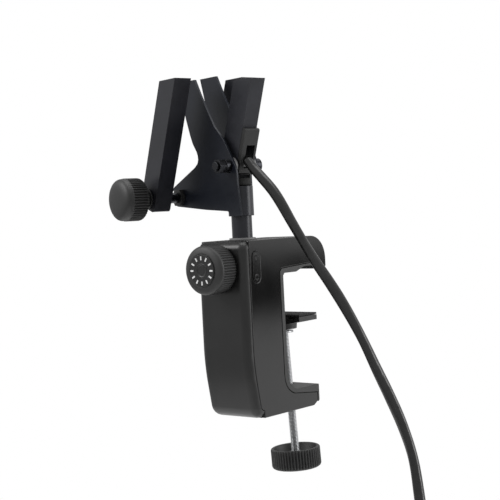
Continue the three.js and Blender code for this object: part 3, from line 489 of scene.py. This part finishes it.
def add_lock_knob():
    """The knob that locks the mast: a ribbed rim round a domed face, with a recess that holds the disc."""
    origin, axis = joint_line("lock_turn", (0, -1, 0))
    low, high, radius = reach("lock_knob", origin, axis)
    disc_low, disc_high, disc_radius = reach("lock_knob_disc", origin, axis)
    recess = disc_radius + 0.3 * MM
    dome_height = 3.6 * MM
    face = high - dome_height
    back = 2 * MM
    hub = 9 * MM
    whole_dome = dome(radius - 0.3 * MM, face, dome_height, fullness=2.8, count=24)
    crown = [point for point in whole_dome if point[0] > recess + 0.4 * MM]
    lip = crown[0][1]
    inside = [
        (recess * 0.3, disc_low), (recess, disc_low), (recess, lip - 0.4 * MM), (recess + 0.35 * MM, lip),
    ]
    rim = [
        (radius, face - 0.4 * MM, 0.3), (radius, face - 1.0 * MM, 1.0), (radius, face - 3 * MM, 1.0),
        (radius, back + 3 * MM, 1.0), (radius, back + 1.0 * MM, 1.0), (radius - 0.5 * MM, back, 0.5),
        (radius - 2.4 * MM, back, 0.0), (hub + 0.6 * MM, back, 0.0), (hub, back - 0.5 * MM, 0.0),
        (hub, low, 0.0), (hub * 0.45, low, 0.0),
    ]
    rows = [(out, height, 0.0) for out, height in inside + crown] + rim
    ribbed_knob("ribbed_lock_knob", "lock_knob", "lock_knob", origin, axis, rows, ribs=57, depth=1.15 * MM)
    add_disc_marks(origin, axis, disc_high, disc_radius)


def add_disc_marks(origin, axis, top, radius):
    """Plain index ticks round the lock knob's disc, and a turned ring inside them."""
    across, other = frame_along(axis)
    ticks = 12
    inner = 0.66 * radius
    outer = 0.9 * radius
    half = 0.55 * MM
    proud = 0.12 * MM
    sunk = 0.2 * MM
    for k in range(ticks):
        angle = math.tau * k / ticks
        spoke = math.cos(angle) * across + math.sin(angle) * other
        beside = axis.cross(spoke)
        points = []
        for height in (top - sunk, top + proud):
            for reach_out, sideways in ((inner, -half), (outer, -half), (outer, half), (inner, half)):
                points.append(origin + axis * height + spoke * reach_out + beside * sideways)
        faces = [(0, 1, 2, 3), (4, 5, 6, 7), (0, 1, 5, 4), (1, 2, 6, 5), (2, 3, 7, 6), (3, 0, 4, 7)]
        tick = new_piece(f"disc_tick_{k + 1}", points, faces, TICK_PAINT, "lock_knob", None, smooth=False)
        soften(tick, 0.06 * MM)
    ring = [
        (0.30 * radius, top - sunk), (0.30 * radius, top + proud), (0.42 * radius, top + 2 * proud),
        (0.46 * radius, top + proud), (0.46 * radius, top - sunk),
    ]
    turned(
        "disc_ring", origin, axis, ring, lambda out, height, angle, i: out, RING_STEPS,
        MATERIALS["cover_plastic"], "lock_knob", "cover_plastic",
    )


def add_hand_knob():
    """The clamping screw's knob: a ribbed cup, open at the top round its hub."""
    origin, axis = joint_line("screw_turn", (0, 0, 1))
    low, high, radius = reach("hand_knob", origin, axis)
    wall = 2.4 * MM
    cup = radius - wall
    hub = 6 * MM
    floor = high - 9 * MM
    rows = [
        (3.3 * MM, high - 3.4 * MM, 0), (hub - 0.6 * MM, high - 3.4 * MM, 0), (hub, high - 4 * MM, 0),
        (hub + 0.2 * MM, floor + 0.6 * MM, 0), (hub + 0.9 * MM, floor, 0), (cup - 1 * MM, floor, 0),
        (cup - 0.2 * MM, floor + 0.8 * MM, 0), (cup, high - 0.5 * MM, 0), (cup + 0.4 * MM, high, 0),
        (radius - 0.9 * MM, high, 0), (radius - 0.35 * MM, high - 0.3 * MM, 0.25), (radius, high - 1 * MM, 1),
        (radius, high - 4 * MM, 1), (radius, low + 4 * MM, 1), (radius, low + 1.8 * MM, 1),
        (radius - 0.5 * MM, low + 0.7 * MM, 0.6), (radius - 1.6 * MM, low, 0.1), (radius * 0.7, low, 0),
        (radius * 0.3, low, 0),
    ]
    ribbed_knob("ribbed_hand_knob", "hand_knob", "screw", origin, axis, rows, ribs=51, depth=1.25 * MM)


def add_screw():
    """The M6 screw with a real helical thread of one millimetre pitch and a plain tip, and painted shade in its
    thread roots.
    """
    origin, axis = joint_line("screw_turn", (0, 0, 1))
    low, high, radius = reach("clamp_screw", origin, axis)
    pitch = 1 * MM
    depth = 0.56 * MM
    tip_radius = 2.05 * MM
    thread_top = high - 7.8 * MM
    fade = 0.8 * MM
    steepness = 2.4
    root = 0.15
    steps = 32
    rows = 8  # rows to each turn of thread
    count = round((thread_top - low) / pitch * rows)
    profile = [(radius - depth, low)]
    profile += [(radius, low + (thread_top - low) * i / count) for i in range(1, count)]
    profile += [
        (radius - depth, thread_top), (tip_radius, thread_top + 0.4 * MM),
        (tip_radius, high - 0.3 * MM), (tip_radius - 0.3 * MM, high),
    ]

    def radius_at(here, height, angle, i):
        if i == 0 or i >= count:
            return here
        phase = (height / pitch - angle / math.tau) % 1
        flank = min(1.0, max(0.0, abs(phase - 0.5) * steepness - root))
        ends = min(1.0, (height - low) / fade, (thread_top - height) / fade)
        return here - depth * (1 - ends * (1 - flank))

    screw = turned(
        "threaded_screw", origin, axis, profile, radius_at, steps,
        MATERIALS["zinc_steel"], "screw", "zinc_steel",
    )
    # The faces deep in the thread's grooves take the darker metal: painted shade in the thread roots.
    screw.data.materials.append(PAINTED_THREAD_SHADE)
    shade_radius = radius - 0.6 * depth
    for face in screw.data.polygons:
        place = face.center - origin
        height = place.dot(axis)
        if height < thread_top - fade and (place - height * axis).length < shade_radius:
            face.material_index = 1
    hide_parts("clamp_screw")


# ---------------------------------------------------------------- finish of the CAD's own parts

SHARP = math.radians(30)
NEARLY_FLAT = math.radians(0.6)
WELD_GAP = 0.002 * MM


def soften(piece, width, segments=2):
    """Rounds a piece's sharp edges by width and shades its curved faces smooth."""
    weld = piece.modifiers.new("weld", "WELD")
    weld.merge_threshold = WELD_GAP
    flat = piece.modifiers.new("flat", "DECIMATE")
    flat.decimate_type = "DISSOLVE"
    flat.angle_limit = NEARLY_FLAT
    bevel = piece.modifiers.new("bevel", "BEVEL")
    bevel.width = width
    bevel.segments = segments
    bevel.limit_method = "ANGLE"
    bevel.angle_limit = SHARP
    bevel.use_clamp_overlap = True
    bevel.miter_outer = "MITER_ARC"
    normals = piece.modifiers.new("normals", "WEIGHTED_NORMAL")
    normals.keep_sharp = True
    piece.data.polygons.foreach_set("use_smooth", [True] * len(piece.data.polygons))


EDGE_WIDTHS = {  # millimetres
    "front_cover": 0.5, "side_cover_right": 0.7, "side_cover_left": 0.7, "throat_liner": 0.4,
    "outer_bar_near": 0.7, "outer_bar_far": 0.7, "inner_bar": 0.7, "plate_near": 0.2, "plate_far": 0.2,
    "pressure_pad": 0.5, "pad_facing": 0.4, "mast_plug": 0.8, "mast_sleeve": 0.4,
}
COMMON_EDGE = 0.2
OTHER_LOOKS = {
    "side_cover_right": GLOSSY_COVER, "side_cover_left": GLOSSY_COVER, "side_badge": GLOSSY_COVER,
    "inner_axle_collar": MATERIALS["black_zinc"],
    "mast_tube": MATERIALS["painted_tube"], "mast_sleeve": MATERIALS["painted_tube"],
}


def finish_cad_nodes():
    """Gives each CAD node that still shows its material and its rounded edges."""
    slots = {entry["node"]: entry["material_slot"] for entry in frame["record"]["subparts"]}
    for name, node in NODES.items():
        if node.hide_render:
            continue
        node.data.materials.clear()
        node.data.materials.append(OTHER_LOOKS.get(name, MATERIALS[slots[name]]))
        soften(node, EDGE_WIDTHS.get(name, COMMON_EDGE) * MM)


add_lock_knob()
add_tension_knob()
add_hand_knob()
add_screw()
finish_cad_nodes()


# ---------------------------------------------------------------- stage and light

WHITE = 0.94
FLOOR_RADIUS = 0.85
FLOOR_FADE = 0.45  # from here out the floor fades into the white around it
FLOOR_GAP = 3 * MM
FLOOR_STEPS = 96


def add_floor():
    """A round sheet of pale paper under the whole object, which fades out towards its rim."""
    low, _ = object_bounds()
    points = []
    for k in range(FLOOR_STEPS):
        angle = math.tau * k / FLOOR_STEPS
        points.append((FLOOR_RADIUS * math.cos(angle), FLOOR_RADIUS * math.sin(angle), 0))
    mesh = bpy.data.meshes.new("floor")
    mesh.from_pydata(points, [], [tuple(range(FLOOR_STEPS))])
    floor = bpy.data.objects.new("floor", mesh)
    floor.location.z = low.z - FLOOR_GAP
    bpy.context.collection.objects.link(floor)
    paper = Shader("floor_paper", grey(WHITE), 0.9, specular=0.1)
    paper.vary_colour(paper.noise(3), grey(WHITE - 0.01), grey(WHITE + 0.01))
    away = paper.node("ShaderNodeVectorMath", operation="LENGTH")
    paper.link(paper.place, away.inputs[0])
    solid = paper.node("ShaderNodeMapRange", interpolation_type="SMOOTHSTEP")
    solid.inputs["From Min"].default_value = FLOOR_FADE
    solid.inputs["From Max"].default_value = FLOOR_RADIUS
    solid.inputs["To Min"].default_value = 1.0
    solid.inputs["To Max"].default_value = 0.0
    paper.link(away.outputs["Value"], solid.inputs["Value"])
    paper.link(solid.outputs["Result"], paper.main.inputs["Alpha"])
    mesh.materials.append(paper.material)


TENT_STRENGTH = 0.8
TENT_BELOW = 0.3
TENT_LEVEL = 0.75
TENT_ABOVE = 1.0
TENT_HEIGHTS = (-0.5, 0.9)  # from TENT_BELOW to TENT_ABOVE
TENT_LEVEL_AT = 0.35  # of the way up between them
TENT_BEHIND = 1.35
BEHIND = Vector((0.63, 0.77, 0))  # behind on the right, where the side covers mirror a narrow dark flag
BEHIND_SPAN = (0.75, 0.9)  # how near to BEHIND a direction is where the change begins and ends
FLAG_HEIGHT = -0.062
FLAG_HALF = 0.034
MIX_A = 6  # the colour sockets of a Mix node
MIX_B = 7
MIX_RESULT = 2


def add_world():
    """White all round for the camera, and a dimmer light tent with one dark flag for everything else."""
    world = bpy.data.worlds.new("tent")
    bpy.context.scene.world = world
    world.use_nodes = True
    tree = world.node_tree
    tree.nodes.clear()
    out = tree.nodes.new("ShaderNodeOutputWorld")
    mix = tree.nodes.new("ShaderNodeMixShader")
    seen = tree.nodes.new("ShaderNodeBackground")
    seen.inputs["Color"].default_value = (1, 1, 1, 1)
    tent = tree.nodes.new("ShaderNodeBackground")
    tent.inputs["Strength"].default_value = TENT_STRENGTH
    path = tree.nodes.new("ShaderNodeLightPath")
    place = tree.nodes.new("ShaderNodeTexCoord")
    split = tree.nodes.new("ShaderNodeSeparateXYZ")
    ramp = tree.nodes.new("ShaderNodeValToRGB")
    ramp.color_ramp.elements[0].color = (*grey(TENT_BELOW), 1)
    ramp.color_ramp.elements[1].color = (*grey(TENT_ABOVE), 1)
    level = ramp.color_ramp.elements.new(TENT_LEVEL_AT)
    level.color = (*grey(TENT_LEVEL), 1)
    height = tree.nodes.new("ShaderNodeMapRange")
    height.inputs["From Min"].default_value = TENT_HEIGHTS[0]
    height.inputs["From Max"].default_value = TENT_HEIGHTS[1]
    drop = tree.nodes.new("ShaderNodeMath")
    drop.operation = "SUBTRACT"
    drop.inputs[1].default_value = FLAG_HEIGHT
    far = tree.nodes.new("ShaderNodeMath")
    far.operation = "ABSOLUTE"
    band = tree.nodes.new("ShaderNodeMapRange")
    band.interpolation_type = "SMOOTHSTEP"
    band.inputs["From Min"].default_value = FLAG_HALF * 0.5
    band.inputs["From Max"].default_value = FLAG_HALF
    band.inputs["To Min"].default_value = 1.0
    band.inputs["To Max"].default_value = 0.0
    facing = tree.nodes.new("ShaderNodeVectorMath")
    facing.operation = "DOT_PRODUCT"
    facing.inputs[1].default_value = BEHIND
    wide = tree.nodes.new("ShaderNodeMapRange")
    wide.inputs["From Min"].default_value = BEHIND_SPAN[0]
    wide.inputs["From Max"].default_value = BEHIND_SPAN[1]
    flag = tree.nodes.new("ShaderNodeMath")
    flag.operation = "MULTIPLY"
    glow = tree.nodes.new("ShaderNodeMix")
    glow.data_type = "RGBA"
    glow.inputs[MIX_B].default_value = (*grey(TENT_BEHIND), 1)
    shade = tree.nodes.new("ShaderNodeMix")
    shade.data_type = "RGBA"
    shade.inputs[MIX_B].default_value = (0, 0, 0, 1)
    links = [
        (place.outputs["Generated"], split.inputs["Vector"]), (split.outputs["Z"], height.inputs["Value"]),
        (height.outputs["Result"], ramp.inputs["Fac"]), (split.outputs["Z"], drop.inputs[0]),
        (drop.outputs[0], far.inputs[0]), (far.outputs[0], band.inputs["Value"]),
        (place.outputs["Generated"], facing.inputs[0]), (facing.outputs["Value"], wide.inputs["Value"]),
        (band.outputs["Result"], flag.inputs[0]), (wide.outputs["Result"], flag.inputs[1]),
        (wide.outputs["Result"], glow.inputs[0]), (ramp.outputs["Color"], glow.inputs[MIX_A]),
        (flag.outputs[0], shade.inputs[0]), (glow.outputs[MIX_RESULT], shade.inputs[MIX_A]),
        (shade.outputs[MIX_RESULT], tent.inputs["Color"]), (path.outputs["Is Camera Ray"], mix.inputs["Fac"]),
        (tent.outputs["Background"], mix.inputs[1]), (seen.outputs["Background"], mix.inputs[2]),
        (mix.outputs["Shader"], out.inputs["Surface"]),
    ]
    for start, end in links:
        tree.links.new(start, end)


def add_softbox(name, place, size, power):
    """A rectangular area light that looks at the origin."""
    data = bpy.data.lights.new(name, "AREA")
    data.shape = "RECTANGLE"
    data.size = size[0]
    data.size_y = size[1]
    data.energy = power
    lamp = bpy.data.objects.new(name, data)
    bpy.context.collection.objects.link(lamp)
    lamp.location = place
    lamp.rotation_euler = (-Vector(place)).to_track_quat("-Z", "Y").to_euler()


add_floor()
add_world()
add_softbox("key", place=(-0.9, -1.1, 0.9), size=(0.9, 0.7), power=14)
add_softbox("top", place=(0.1, 0.1, 1.3), size=(1.2, 1.2), power=12)
add_softbox("rim", place=(1.2, 0.7, 0.3), size=(0.5, 1.0), power=7)
bpy.context.scene.view_settings.view_transform = "Standard"
